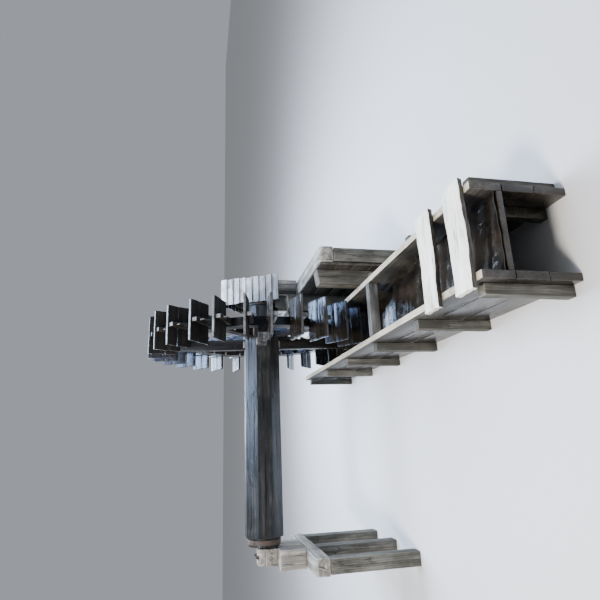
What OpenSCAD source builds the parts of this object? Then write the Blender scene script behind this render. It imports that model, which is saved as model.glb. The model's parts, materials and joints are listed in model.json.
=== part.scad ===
// Undershot timber water wheel with its shaft, bearings, cap roof and plank race.
// +X runs along the shaft to the outboard bearing, +Y runs downstream, +Z is up.
// The origin lies on the base plane, straight below the middle of the wheel.

/* [Wheel] */
// Diameter over the outer edges of the paddles
wheel_d = 2880; // [2600:10:3000]
// Angle of the first paddle above the upstream horizontal, degrees
first_paddle_a = 0.1; // [-6:0.1:6]
// Width of a paddle along the shaft
paddle_w = 472; // [300:2:480]
// Depth of a paddle along the radius
paddle_depth = 328; // [200:2:340]
// Thickness of a paddle board
paddle_t = 28; // [20:1:40]

/* [Rim] */
// Width of the rim along the shaft
rim_w = 100; // [90:2:120]
// Depth of the rim along the radius
rim_depth = 150; // [120:2:180]
// Gap between the rim and the inner edges of the paddles
rim_gap = 17; // [10:1:40]
// Gap between the ends of two felloes
felloe_gap = 1; // [0.5:0.1:3]
// Angle over which the half-thick ends of two felloes lap, degrees
felloe_lap = 7; // [4:0.5:7.5]

/* [Starts] */
// Width of a start along the shaft, at the rim
start_w = 84; // [70:1:90]
// Width of a start along the shaft, at its tip
start_tip_w = 46; // [40:1:60]
// Thickness of a start, square to the paddle
start_t = 60; // [50:1:70]
// Width of the tenon that passes through the rim
tenon_w = 46; // [40:1:60]
// Thickness of the tenon that passes through the rim
tenon_t = 40; // [30:1:50]
// How far the tenon stands out inside the rim
tenon_end = 55; // [40:1:80]
// How far the tip of a start stays behind the edge of its paddle
start_setback = 24; // [10:1:60]
// Length of the draw key through a tenon's tail, along the shaft
key_l = 112; // [104:2:120]
// Depth of a draw key at its thick end
key_h = 24; // [16:1:30]
// Depth of a draw key at its thin end
key_thin_h = 14; // [8:1:16]
// Thickness of a draw key
key_t = 16; // [10:1:20]

/* [Arms] */
// Width of an arm along the shaft
arm_w = 130; // [110:2:140]
// Thickness of an arm, square to the shaft
arm_t = 104; // [90:2:120]
// Gap between the two layers of arms
arm_layer_gap = 10; // [4:1:20]

/* [Shaft] */
// Width of the shaft across two opposite flats
shaft_w = 440; // [400:5:460]
// Length of shaft from the wheel's middle to its inboard end
shaft_in = 2480; // [1500:10:2800]
// Diameter of the round neck under a hoop
neck_d = 380; // [340:2:390]
// Length of the round neck at each end
neck_l = 100; // [90:2:140]
// Width of an iron hoop
hoop_w = 55; // [30:1:60]
// Thickness of an iron hoop
hoop_t = 8; // [5:1:10]

/* [Gudgeons and bearings] */
// Diameter of the gudgeon's journal
journal_d = 72; // [60:1:90]
// Diameter of the gudgeon's collar
collar_d = 130; // [110:2:160]
// Thickness of the gudgeon's collar
collar_t = 18; // [12:1:22]
// Thickness of a gudgeon's wing
wing_t = 22; // [16:1:30]
// Reach of a gudgeon's wing from the axis
wing_r = 165; // [120:5:180]
// Length of a gudgeon's wing into the shaft
wing_l = 170; // [120:5:220]
// How far the journal stands out past its bearing
journal_end = 18; // [10:1:20]
// Width of a bearing block along the shaft
block_w = 180; // [140:5:200]
// Length of a bearing block across the shaft
block_l = 300; // [260:5:360]
// Length of a bearing cap across the shaft
cap_l = 220; // [200:5:230]
// Height of a bearing cap over the axis
cap_h = 85; // [75:1:90]
// Chamfer along the upper edges of a bearing cap
cap_chamfer = 22; // [10:1:26]

/* [Supports] */
// Distance from the wheel's middle to the middle of the outboard support
support_x = 645; // [640:5:700]
// Width of a pier along the shaft
pier_w = 220; // [210:5:230]
// Room between the shaft's end and the pier
pier_room = 15; // [8:1:20]
// Length of a pier across the shaft
pier_l = 600; // [560:10:700]
// Drop from the axis to the top of a pier
pier_drop = 140; // [120:5:180]
// Drop from the axis to the top of the sill beams
sill_drop = 450; // [420:5:500]
// Width of a sill beam
sill_w = 190; // [160:5:200]
// Height of a sill beam
sill_h = 160; // [140:5:200]
// Radius of the worn upper edge at the upstream end of a sill beam
sill_round = 45; // [20:1:60]
// Upstream end of the outboard sill beam, from the axis
sill_up = 1545; // [1450:5:1700]
// Downstream end of the outboard sill beam, from the axis
sill_down = 760; // [720:5:900]
// Length of the inboard sill beam to each side of the axis
sill_in_half = 760; // [650:5:900]
// Width of a sill post
sill_post_w = 160; // [140:5:180]

/* [Bank wall] */
// Width of a bank post
bank_post_w = 168; // [140:2:172]
// Thickness of the bank boards
bank_board_t = 26; // [18:1:28]
// Number of bank boards, one above the other
bank_boards = 6; // [4:1:8]
// Gap between two bank boards
bank_board_gap = 4; // [1:1:10]
// Height of the pier-side bank post over the sill beams
bank_post_rise = 160; // [60:5:190]
// Fall of the sloping top of a bank post
bank_post_fall = 26; // [10:1:50]

/* [Race] */
// Clear width between the race walls
race_w = 560; // [560:2:580]
// Shift of the race's middle from the wheel's middle
race_x = -30; // [-30:1:-20]
// Thickness of the race walls
race_wall_t = 60; // [40:1:64]
// Drop from the axis to the top of the race walls
race_drop = 900; // [860:5:960]
// Upstream end of the race, from the axis
race_up = 3750; // [3740:10:4200]
// Downstream end of the race, from the axis
race_down = 1450; // [1400:10:2000]
// Number of planks in a race wall, one above the other
race_planks = 3; // [2:1:5]
// Gap between two wall planks
race_plank_gap = 4; // [1:1:8]
// Thickness of the race's floor planks
floor_t = 40; // [30:1:60]
// Height of the pit floor over the base plane
pit_floor_z = 140; // [100:5:200]
// Room between the wheel and the pit floor below it
wheel_room = 60; // [30:1:90]
// Height of the head race's floor at its upstream end
head_floor_up = 540; // [500:5:580]
// Height of the head race's floor at the cross beam
head_floor_down = 415; // [380:5:440]
// Distance from the axis to the cross beam's middle
cross_beam_y = 1715; // [1660:5:1800]
// Width and height of the cross beam
cross_beam_w = 100; // [80:2:120]
// Upstream end of the pit floor, from the axis
pit_floor_up = 430; // [350:5:520]
// Width of a floor joist
joist_w = 80; // [60:2:100]
// Side of a stake outside the race walls
stake_w = 84; // [60:2:100]
// Number of stakes along each race wall
stakes = 6; // [4:1:8]
// How far the top of a stake stays below the top of the race walls
stake_drop = 60; // [20:5:120]
// Thickness of a cover plank
cover_t = 45; // [30:1:60]
// Width of a cover plank along the race
cover_w = 270; // [200:5:300]
// Room between the upstream end of the race and the farther cover plank
cover_room = 25; // [5:5:60]
// Distance between the middles of the two cover planks
cover_step = 450; // [420:5:460]
// Overhang of a cover plank past the race walls
cover_over = 55; // [20:5:100]

/* [Cap roof] */
// Length of the roof along the shaft
roof_w = 364; // [340:2:400]
// Height of the ridge over the axis
ridge_rise = 526; // [500:2:560]
// Shift of the ridge downstream of the axis
ridge_y = 20; // [0:1:40]
// Room between the upstream slope and the edge of the pier's top
roof_room = 6; // [2:1:20]
// Drop from the axis to the upstream eave
eave_up_drop = 200; // [180:2:220]
// Distance from the axis to the downstream eave
eave_down_y = 620; // [600:5:640]
// Height of the downstream eave over the axis
eave_down_rise = 90; // [60:2:120]
// Number of boards on the upstream slope
courses_up = 9; // [6:1:12]
// Number of boards on the downstream slope
courses_down = 8; // [5:1:10]
// Thickness of a roof board at its lower edge
shake_t = 24; // [16:1:32]
// Thickness of a roof board at its upper edge
shake_top_t = 10; // [6:1:14]
// Width of a rafter along the shaft
rafter_w = 50; // [40:1:60]
// Depth of a rafter, square to the slope
rafter_d = 60; // [50:1:70]
// Thickness of the gable board
gable_t = 20; // [14:1:26]

/* [Fits] */
// Running clearance of a journal in its bearing, on the radius
run_fit = 0.08; // [0.04:0.01:0.09]
// Clearance of a tenon, lap or wing in its seat
seat_fit = 0.3; // [0.2:0.1:0.5]
// Running room between the gudgeon's collar and the bearing block
collar_room = 6; // [5:1:10]

/* [Hidden] */
$fn = 96;

wheel_r = wheel_d / 2;
axle_z = pit_floor_z + wheel_room + wheel_r;
paddle_in_r = wheel_r - paddle_depth;
rim_out_r = paddle_in_r - rim_gap;
rim_in_r = rim_out_r - rim_depth;
felloes = 4;
paddles_each = 7;
paddle_count = felloes * paddles_each;
paddle_step = 360 / paddle_count;
felloe_a = 360 / felloes;
// Small error of each hand-set start, quarter by quarter, degrees
start_error = [
    1, -0.5, 0.3, -0.8, 1, 0.9, -0.6,
    0.4, -1, -0.9, -1, -0.6, -0.9, 0.2,
    0.7, -0.3, 0.5, -0.7, 0.1, 0.6, -0.4,
    -0.8, 0.3, -0.2, 0.6, 1, 1, 0.5
];
arm_layer_x = (arm_layer_gap + arm_w) / 2;
shaft_out = support_x - pier_w / 2 - pier_room;
collar_x = shaft_out + collar_t;
block_near_x = collar_x + collar_room;
journal_tip_x = block_near_x + block_w + journal_end;
pier_z = axle_z - pier_drop;
sill_z = axle_z - sill_drop;
race_top_z = axle_z - race_drop;
race_right_x = race_x + race_w / 2;
race_left_x = race_x - race_w / 2;
bank_board_x = support_x - sill_w / 2 - bank_board_t;
bank_post_x = bank_board_x - bank_post_w;
bank_post_ys = [-sill_up + 1.5 * bank_post_w, -pier_l / 2, sill_down - 1.5 * bank_post_w];
cover_y = race_up - cover_room - cover_w / 2 - cover_step;
head_slope = (head_floor_up - head_floor_down) / (race_up - cross_beam_y);
apron_slope = (head_floor_down - pit_floor_z) / (cross_beam_y - pit_floor_up);
ridge_z = axle_z + ridge_rise;
roof_foot_y = pier_l / 2 + roof_room;
pitch_up = atan((ridge_z - pier_z) / (ridge_y + roof_foot_y));
eave_up_y = roof_foot_y + (eave_up_drop - pier_drop) / tan(pitch_up);
pitch_down = atan((ridge_rise - eave_down_rise) / (eave_down_y - ridge_y));
eps = 1;

function paddle_angle(k) = first_paddle_a + k * paddle_step + start_error[k];
// Height of the underside of the floor at y, upstream to downstream
function floor_under(y) = y < -cross_beam_y ? head_floor_down - floor_t - (y + cross_beam_y) * head_slope
    : y < -pit_floor_up ? pit_floor_z - floor_t - (y + pit_floor_up) * apron_slope
    : pit_floor_z - floor_t;

// Turns children, modelled upward along +Z, to an angle above the upstream horizontal
module at_angle(a) {
    translate([0, 0, axle_z]) rotate([90 - a, 0, 0]) children();
}

// A cylinder along +X from x0 to x1 on the shaft's axis
module along_shaft(x0, x1, r) {
    translate([x0, 0, axle_z]) rotate([0, 90, 0]) cylinder(r = r, h = x1 - x0);
}

module box(x0, x1, y0, y1, z0, z1) {
    translate([x0, y0, z0]) cube([x1 - x0, y1 - y0, z1 - z0]);
}

// A plate with the given outline in Y and Z, from x0 to x1
module side_plate(x0, x1, points) {
    translate([x0, 0, 0]) rotate([90, 0, 90]) linear_extrude(x1 - x0) polygon(points);
}

// Puts children of the outboard end at the inboard end of the shaft
module inboard_end() {
    translate([shaft_out - shaft_in, 0, 0]) mirror([1, 0, 0]) children();
}

module octagon_bar(x0, x1) {
    intersection() {
        box(x0, x1, -shaft_w / 2, shaft_w / 2, axle_z - shaft_w / 2, axle_z + shaft_w / 2);
        translate([0, 0, axle_z]) rotate([45, 0, 0])
            translate([x0, -shaft_w / 2, -shaft_w / 2]) cube([x1 - x0, shaft_w, shaft_w]);
    }
}

// Four crossed wings of an iron gudgeon, let into a shaft end at x
module gudgeon_wings(x, grow) {
    for (a = [45, 135]) translate([x - wing_l, 0, axle_z]) rotate([a, 0, 0])
        translate([-grow, -wing_t / 2 - grow, -wing_r - grow])
            cube([wing_l + grow + eps * sign(grow), wing_t + 2 * grow, 2 * (wing_r + grow)]);
}

module arm_bar(layer, a, reach, grow) {
    at_angle(a) translate([layer * arm_layer_x - arm_w / 2 - grow, -arm_t / 2 - grow, -reach])
        cube([arm_w + 2 * grow, arm_t + 2 * grow, 2 * reach]);
}

// Two arms cross in each layer, and every arm passes between two starts
function arm_layer(i) = i < 2 ? -1 : 1;
function arm_angle(i) = first_paddle_a + (i % 2) * 90 + (i < 2 ? paddle_step / 2 : felloe_a / 2);

module shaft() {
    color("#8b8478") difference() {
        union() {
            octagon_bar(-shaft_in + neck_l, shaft_out - neck_l);
            along_shaft(-shaft_in, -shaft_in + neck_l + eps, neck_d / 2);
            along_shaft(shaft_out - neck_l - eps, shaft_out, neck_d / 2);
        }
        for (i = [0:3]) arm_bar(arm_layer(i), arm_angle(i), shaft_w, seat_fit);
        gudgeon_wings(shaft_out, seat_fit);
        inboard_end() gudgeon_wings(shaft_out, seat_fit);
    }
}

module hoop(x) {
    difference() {
        along_shaft(x - hoop_w / 2, x + hoop_w / 2, neck_d / 2 + seat_fit + hoop_t);
        along_shaft(x - hoop_w, x + hoop_w, neck_d / 2 + seat_fit);
    }
}

module hoops() {
    color("#5a4437") {
        hoop(shaft_out - neck_l / 2);
        hoop(-shaft_in + neck_l / 2);
    }
}

module gudgeon() {
    color("#4b4743") {
        gudgeon_wings(shaft_out, 0);
        along_shaft(shaft_out, collar_x, collar_d / 2);
        along_shaft(shaft_out, journal_tip_x, journal_d / 2);
    }
}

module arm(i) {
    color("#8f8a80") difference() {
        arm_bar(arm_layer(i), arm_angle(i), rim_out_r - seat_fit, 0);
        // Lap over the side of the rim, with a round shoulder inside it
        difference() {
            along_shaft(-rim_w / 2 - seat_fit, rim_w / 2 + seat_fit, wheel_r);
            along_shaft(-rim_w, rim_w, rim_in_r - seat_fit);
        }
        // Cross lap with the other arm of the same layer
        at_angle(arm_angle(i)) translate([arm_layer(i) * arm_layer_x, 0, 0])
            translate([i % 2 == 0 ? -seat_fit / 2 : -arm_w, -arm_t / 2 - seat_fit, -arm_t / 2 - seat_fit])
                cube([arm_w + seat_fit / 2, arm_t + 2 * seat_fit, arm_t + 2 * seat_fit]);
    }
}

// The space of a quarter of the rim, centred on the angle a, from x0 to x1
module rim_quarter(a, x0, x1) {
    half_gap = felloe_gap / 2;
    at_angle(a) rotate([45, 0, 0]) translate([x0, half_gap, half_gap]) cube([x1 - x0, wheel_r, wheel_r]);
}

module rim_ring() {
    difference() {
        along_shaft(-rim_w / 2, rim_w / 2, rim_out_r);
        along_shaft(-rim_w, rim_w, rim_in_r);
    }
}

function felloe_mid(i) = first_paddle_a + i * felloe_a;
function felloe_paddles(i) = [for (j = [-3:3]) (i * paddles_each + j + paddle_count) % paddle_count];

module tenon(k, grow) {
    at_angle(paddle_angle(k))
        translate([-tenon_w / 2 - grow, -tenon_t / 2 - grow, rim_in_r - tenon_end - grow])
            cube([tenon_w + 2 * grow, tenon_t + 2 * grow, rim_depth + tenon_end + 2 * grow + eps]);
}

// The two half thicknesses of a felloe are shifted along the rim, so that it laps both neighbours
module felloe(i) {
    color("#6d655b") difference() {
        intersection() {
            rim_ring();
            union() {
                rim_quarter(felloe_mid(i) - felloe_lap / 2, -rim_w, 0);
                rim_quarter(felloe_mid(i) + felloe_lap / 2, 0, rim_w);
            }
        }
        for (k = felloe_paddles(i)) tenon(k, seat_fit);
    }
}

// A tapered key that draws a tenon tight against the inner face of the rim
module draw_key(k) {
    seat_r = rim_in_r - seat_fit;
    at_angle(paddle_angle(k)) rotate([90, 0, 0]) translate([0, 0, -key_t / 2])
        linear_extrude(key_t) polygon([
            [-key_l / 2, seat_r - key_h], [key_l / 2, seat_r - key_thin_h],
            [key_l / 2, seat_r], [-key_l / 2, seat_r]
        ]);
}

module start(k) {
    shoulder_r = rim_out_r + seat_fit;
    tip_r = wheel_r - start_setback;
    tenon(k, 0);
    draw_key(k);
    at_angle(paddle_angle(k)) rotate([90, 0, 0]) translate([0, 0, -start_t / 2])
        linear_extrude(start_t) polygon([
            [-start_w / 2, shoulder_r], [start_w / 2, shoulder_r],
            [start_tip_w / 2, tip_r], [-start_tip_w / 2, tip_r]
        ]);
}

module starts(i) {
    color("#4a4238") for (k = felloe_paddles(i)) start(k);
}

module paddle(k) {
    at_angle(paddle_angle(k)) translate([-paddle_w / 2, start_t / 2, paddle_in_r])
        cube([paddle_w, paddle_t, paddle_depth]);
}

module paddles(i) {
    color("#5b5142") for (k = felloe_paddles(i)) paddle(k);
}

module bearing_block() {
    color("#7a746a") difference() {
        box(block_near_x, block_near_x + block_w, -block_l / 2, block_l / 2, pier_z, axle_z);
        along_shaft(shaft_out, journal_tip_x, journal_d / 2 + run_fit);
    }
}

module bearing_cap() {
    color("#6f695f") difference() {
        side_plate(block_near_x, block_near_x + block_w, [
            [-cap_l / 2, axle_z], [cap_l / 2, axle_z],
            [cap_l / 2, axle_z + cap_h - cap_chamfer], [cap_l / 2 - cap_chamfer, axle_z + cap_h],
            [cap_chamfer - cap_l / 2, axle_z + cap_h], [-cap_l / 2, axle_z + cap_h - cap_chamfer]
        ]);
        along_shaft(shaft_out, journal_tip_x, journal_d / 2 + run_fit);
    }
}

module pier() {
    color("#a9a69e")
        box(support_x - pier_w / 2, support_x + pier_w / 2, -pier_l / 2, pier_l / 2, sill_z, pier_z);
}

module sill_beam(y0, y1) {
    color("#9f9b92") side_plate(support_x - sill_w / 2, support_x + sill_w / 2, concat(
        [[y0, sill_z - sill_h], [y1, sill_z - sill_h], [y1, sill_z]],
        [for (a = [90:15:180]) [y0 + sill_round * (1 + cos(a)), sill_z - sill_round * (1 - sin(a))]]
    ));
}

module sill_posts(y_list) {
    color("#8d887d") for (y = y_list)
        box(support_x - sill_post_w / 2, support_x + sill_post_w / 2,
            y - sill_post_w / 2, y + sill_post_w / 2, 0, sill_z - sill_h);
}

// A post with a top that falls towards the wheel
module bank_post(y, top) {
    translate([0, y + bank_post_w / 2, 0]) rotate([90, 0, 0]) linear_extrude(bank_post_w) polygon([
        [bank_post_x, 0], [bank_board_x, 0],
        [bank_board_x, top], [bank_post_x, top - bank_post_fall]
    ]);
}

module bank_posts() {
    color("#8a8a84") for (i = [0:2])
        bank_post(bank_post_ys[i], sill_z + (i == 1 ? bank_post_rise : 0));
}

module bank_boards() {
    pitch = sill_z / bank_boards;
    color("#4d463d") for (i = [0:bank_boards - 1])
        box(bank_board_x, bank_board_x + bank_board_t, -sill_up, sill_down,
            i * pitch + (i == 0 ? 0 : bank_board_gap), (i + 1) * pitch);
}

// A plank wall of the race, from x0 to x1
module race_wall(x0, x1) {
    pitch = race_top_z / race_planks;
    for (i = [0:race_planks - 1])
        box(x0, x1, -race_up, race_down, i * pitch + (i == 0 ? 0 : race_plank_gap), (i + 1) * pitch);
}

module race_wall_right() {
    color("#a39880") race_wall(race_right_x, race_right_x + race_wall_t);
}

module race_wall_left() {
    color("#a39880") race_wall(race_left_x - race_wall_t, race_left_x);
}

// Stakes stand outside both walls, and packing boards stand between the right wall and the bank posts
module race_stakes() {
    step = (race_up + race_down - 3 * stake_w) / (stakes - 1);
    top = race_top_z - stake_drop;
    left = race_left_x - race_wall_t;
    right = race_right_x + race_wall_t;
    color("#7d766a") {
        for (i = [0:stakes - 1]) {
            y = -race_up + stake_w + i * step;
            box(left - stake_w, left, y, y + stake_w, 0, top);
            if (y + stake_w < -sill_up || y > sill_down)
                box(right, right + stake_w, y, y + stake_w, 0, top);
        }
        for (y = bank_post_ys)
            box(right, bank_post_x, y - bank_post_w / 2, y + bank_post_w / 2, 0, top);
    }
}

module race_floor() {
    color("#5d4f3d") side_plate(race_left_x, race_right_x, [
        [-race_up, head_floor_up - floor_t], [-cross_beam_y, head_floor_down - floor_t],
        [-cross_beam_y, head_floor_down], [-race_up, head_floor_up]
    ]);
}

module race_apron() {
    color("#4e4436") side_plate(race_left_x, race_right_x, [
        [-cross_beam_y, head_floor_down - floor_t], [-pit_floor_up, pit_floor_z - floor_t],
        [-pit_floor_up, pit_floor_z], [-cross_beam_y, head_floor_down]
    ]);
}

module pit_floor() {
    color("#4e4436")
        box(race_left_x, race_right_x, -pit_floor_up, race_down, pit_floor_z - floor_t, pit_floor_z);
}

// A bearer between the race walls that stands on the base and meets the floor above it
module race_joist(y) {
    y0 = y - joist_w / 2;
    y1 = y + joist_w / 2;
    difference() {
        side_plate(race_left_x, race_right_x, [[y0, 0], [y1, 0], [y1, floor_under(y1)], [y0, floor_under(y0)]]);
        if (floor_under(y1) > 3 * joist_w)
            box(race_left_x + joist_w, race_right_x - joist_w, y0 - eps, y1 + eps,
                -eps, floor_under(y1) - 1.5 * joist_w);
    }
}

module head_joists() {
    color("#6b6353") for (t = [0.12, 0.5, 0.88])
        race_joist(-race_up + t * (race_up - cross_beam_y));
}

module pit_joists() {
    apron_y = -(cross_beam_y + pit_floor_up) / 2;
    color("#6b6353") for (y = [apron_y, -pit_floor_up + joist_w, 0, race_down / 2, race_down - joist_w])
        race_joist(y);
}

module cross_beam() {
    color("#8f8873") box(race_left_x, race_right_x, -cross_beam_y - cross_beam_w / 2,
        -cross_beam_y + cross_beam_w / 2, race_top_z - cross_beam_w, race_top_z);
}

module cover_planks() {
    color("#c9bda2") for (i = [0, 1])
        box(race_left_x - race_wall_t - cover_over, race_right_x + race_wall_t + cover_over,
            -cover_y - i * cover_step - cover_w / 2, -cover_y - i * cover_step + cover_w / 2,
            race_top_z, race_top_z + cover_t);
}

module downstream_of_ridge() {
    translate([0, ridge_y, 0]) cube([4 * support_x, 4 * wheel_d, 4 * wheel_d]);
}

module upstream_of_ridge() {
    translate([0, ridge_y - 4 * wheel_d, 0]) cube([4 * support_x, 4 * wheel_d, 4 * wheel_d]);
}

// Lapped boards along +Y: each is thick at its lower edge and thin where the next one starts
module shake_slope(n, len) {
    step = len / n;
    past = len + 3 * shake_t;
    side_plate(support_x - roof_w / 2, support_x + roof_w / 2, concat(
        [[past, shake_top_t], [past, 0], [0, 0]],
        [for (i = [0:n - 1]) each [[i * step, shake_t], [(i + 1) * step, shake_top_t]]]
    ));
}

module roof_upstream() {
    color("#b9bab6") intersection() {
        translate([0, -eave_up_y, axle_z - eave_up_drop]) rotate([pitch_up, 0, 0])
            shake_slope(courses_up, (eave_up_y + ridge_y) / cos(pitch_up));
        upstream_of_ridge();
    }
}

module roof_downstream() {
    color("#b9bab6") intersection() {
        translate([0, eave_down_y, axle_z + eave_down_rise]) mirror([0, 1, 0]) rotate([pitch_down, 0, 0])
            shake_slope(courses_down, (eave_down_y - ridge_y) / cos(pitch_down));
        downstream_of_ridge();
    }
}

// Height of the underside of each slope at y
function under_up(y) = axle_z - eave_up_drop + (y + eave_up_y) * tan(pitch_up);
function under_down(y) = axle_z + eave_down_rise + (eave_down_y - y) * tan(pitch_down);

module rafter_pair(x) {
    drop_up = rafter_d / cos(pitch_up);
    drop_down = rafter_d / cos(pitch_down);
    foot_y = -roof_foot_y;
    side_plate(x, x + rafter_w, [
        [foot_y, pier_z], [foot_y + rafter_d / sin(pitch_up), pier_z],
        [ridge_y, under_up(ridge_y) - drop_up], [ridge_y, under_up(ridge_y)]
    ]);
    side_plate(x, x + rafter_w, [
        [ridge_y, under_down(ridge_y)], [ridge_y, under_down(ridge_y) - drop_down],
        [eave_down_y - rafter_d, under_down(eave_down_y - rafter_d) - drop_down],
        [eave_down_y - rafter_d / 2, under_down(eave_down_y - rafter_d / 2)]
    ]);
}

module rafters() {
    color("#6c655a") {
        rafter_pair(support_x - pier_w / 2);
        rafter_pair(support_x + pier_w / 2 - rafter_w);
    }
}

module roof_posts() {
    y1 = eave_down_y - rafter_d;
    y0 = y1 - rafter_d;
    drop = rafter_d / cos(pitch_down);
    color("#7b756a") for (x = [support_x - sill_w / 2, support_x + sill_w / 2 - rafter_w])
        side_plate(x, x + rafter_w, [
            [y0, sill_z], [y1, sill_z], [y1, under_down(y1) - drop], [y0, under_down(y0) - drop]
        ]);
}

module gable_board() {
    x0 = support_x + pier_w / 2;
    low_z = axle_z - eave_up_drop;
    color("#77736a") side_plate(x0, x0 + gable_t, [
        [-pier_l / 2, low_z], [pier_l / 2, low_z],
        [eave_down_y - rafter_d, under_down(eave_down_y - rafter_d) - rafter_d],
        [eave_down_y - rafter_d, under_down(eave_down_y - rafter_d) - seat_fit],
        [ridge_y, ridge_z - 2 * seat_fit],
        [-pier_l / 2, under_up(-pier_l / 2) - 2 * seat_fit]
    ]);
}

shaft();
hoops();
gudgeon();  // gudgeon_outboard
inboard_end() gudgeon();  // gudgeon_inboard
for (i = [0:3]) {
    arm(i);
    felloe(i);
    starts(i);
    paddles(i);
}
bearing_block();  // bearing_block_outboard
bearing_cap();  // bearing_cap_outboard
pier();  // pier_outboard
sill_beam(-sill_up, sill_down);  // sill_beam_outboard
sill_posts([-sill_up + sill_post_w / 2, 0, sill_down - sill_post_w / 2]);  // sill_posts_outboard
inboard_end() bearing_block();  // bearing_block_inboard
inboard_end() bearing_cap();  // bearing_cap_inboard
inboard_end() pier();  // pier_inboard
inboard_end() sill_beam(-sill_in_half, sill_in_half);  // sill_beam_inboard
inboard_end() sill_posts([-sill_in_half + sill_post_w / 2, 0, sill_in_half - sill_post_w / 2]);  // sill_posts_inboard
bank_posts();
bank_boards();
race_wall_right();
race_wall_left();
race_stakes();
race_floor();
race_apron();
pit_floor();
head_joists();
pit_joists();
cross_beam();
cover_planks();
roof_upstream();
roof_downstream();
rafters();
roof_posts();
gable_board();
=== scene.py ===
import json
import math
import random

import bpy
import numpy as np
from mathutils import Matrix, Vector


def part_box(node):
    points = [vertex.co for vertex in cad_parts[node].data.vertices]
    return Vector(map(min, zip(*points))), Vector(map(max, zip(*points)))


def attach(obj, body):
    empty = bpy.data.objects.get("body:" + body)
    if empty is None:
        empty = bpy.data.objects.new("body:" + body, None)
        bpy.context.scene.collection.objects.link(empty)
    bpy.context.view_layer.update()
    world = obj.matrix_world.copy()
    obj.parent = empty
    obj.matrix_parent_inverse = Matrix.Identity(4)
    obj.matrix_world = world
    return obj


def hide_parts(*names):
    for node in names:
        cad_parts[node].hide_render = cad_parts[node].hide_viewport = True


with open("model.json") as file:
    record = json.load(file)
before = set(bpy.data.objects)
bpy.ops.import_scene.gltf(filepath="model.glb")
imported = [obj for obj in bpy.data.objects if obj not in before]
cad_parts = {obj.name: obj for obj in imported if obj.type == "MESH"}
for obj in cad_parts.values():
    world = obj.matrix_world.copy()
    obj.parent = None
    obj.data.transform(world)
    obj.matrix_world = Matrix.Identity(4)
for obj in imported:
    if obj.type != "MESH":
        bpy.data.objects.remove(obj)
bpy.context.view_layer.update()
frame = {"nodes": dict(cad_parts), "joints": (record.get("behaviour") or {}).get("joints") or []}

cad = frame["nodes"]
axleZ = frame["joints"][0]["pos_m"][2]
quarters = (1, 2, 3, 4)
bearingEnds = ("outboard", "inboard")


# small helpers

marks = [bpy.data.materials.new(name) for name in ("faceMark", "edgeMark", "litTipMark")]


def markSlots(piece):  # faces, worn edges and the ends with a painted highlight stay apart until the finish goes on
    piece.data.materials.clear()
    for mark in marks:
        piece.data.materials.append(mark)


def pick(*pieces):
    bpy.ops.object.select_all(action="DESELECT")
    for piece in pieces:
        piece.select_set(True)
    bpy.context.view_layer.objects.active = pieces[0]


def settle(piece):  # place, turn and size go into the mesh
    pick(piece)
    bpy.ops.object.transform_apply(location=True, rotation=True, scale=True)
    return piece


def justAdded(name, size=(1, 1, 1)):  # the shape that was added last, at its size and ready for its finish
    piece = bpy.context.object
    piece.name = name
    piece.scale = size
    markSlots(settle(piece))
    return piece


def editMode(piece, kind="FACE"):
    pick(piece)
    bpy.ops.object.mode_set(mode="EDIT")
    bpy.ops.mesh.select_mode(type=kind)


def objectMode():
    bpy.ops.object.mode_set(mode="OBJECT")


def chooseEdges(piece, axis):  # the edges that run along an axis
    editMode(piece, "EDGE")
    bpy.ops.mesh.select_all(action="DESELECT")
    objectMode()
    verts = piece.data.vertices
    for edge in piece.data.edges:
        run = verts[edge.vertices[1]].co - verts[edge.vertices[0]].co
        edge.select = abs(run[axis]) > 0.9 * run.length
    bpy.ops.object.mode_set(mode="EDIT")


def chooseFaces(piece, test):  # test gets a face's normal
    editMode(piece)
    bpy.ops.mesh.select_all(action="DESELECT")
    objectMode()
    for face in piece.data.polygons:
        face.select = test(face.normal)
    bpy.ops.object.mode_set(mode="EDIT")


def apply(piece, kind, **settings):
    pick(piece)
    changer = piece.modifiers.new("shape", kind)
    for key, value in settings.items():
        setattr(changer, key, value)
    bpy.ops.object.modifier_apply(modifier=changer.name)


def softenEdges(piece, width, segments=2, angle=40, edgeFinish=True):
    apply(piece, "BEVEL", width=width, segments=segments, limit_method="ANGLE", use_clamp_overlap=True,
          angle_limit=math.radians(angle), material=1 if edgeFinish else -1)


roughness = {}


def roughen(piece, depth, size):  # takes wood off, never adds any
    if size not in roughness:
        cloud = bpy.data.textures.new("hewn", "CLOUDS")
        cloud.noise_scale = size
        cloud.noise_depth = 2
        roughness[size] = cloud
    apply(piece, "DISPLACE", texture=roughness[size], texture_coords="LOCAL", strength=depth, mid_level=1.0)


def join(pieces, name):
    pick(*pieces)
    if len(pieces) > 1:
        bpy.ops.object.join()
    piece = pieces[0]
    piece.name = name
    piece.data.name = name
    return piece


def newObject(name, data):
    made = bpy.data.objects.new(name, data)
    bpy.context.scene.collection.objects.link(made)
    return made


def copyPiece(piece, matrix, shift=None):  # shift moves the grain, so that no two copies look alike
    mesh = piece.data.copy()
    mesh.transform(matrix)
    twin = newObject(piece.name, mesh)
    if shift:
        made = mesh.attributes["grain"]
        grain = np.empty(len(mesh.vertices) * 3, np.float32)
        made.data.foreach_get("vector", grain)
        grain = grain.reshape(-1, 3) + np.array(shift, np.float32)
        made.data.foreach_set("vector", grain.ravel())
    return twin


def remove(*pieces):
    for piece in pieces:
        bpy.data.objects.remove(piece)


grainValues = {  # where in its log a piece may lie, and how far the grain of a copy may be moved
    "slide": 9.0, "pithAside": 0.12, "pithDeep": (0.03, 0.1), "copySlide": 5, "copyAside": 0.03,
    "keySlide": 2,
}


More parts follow.
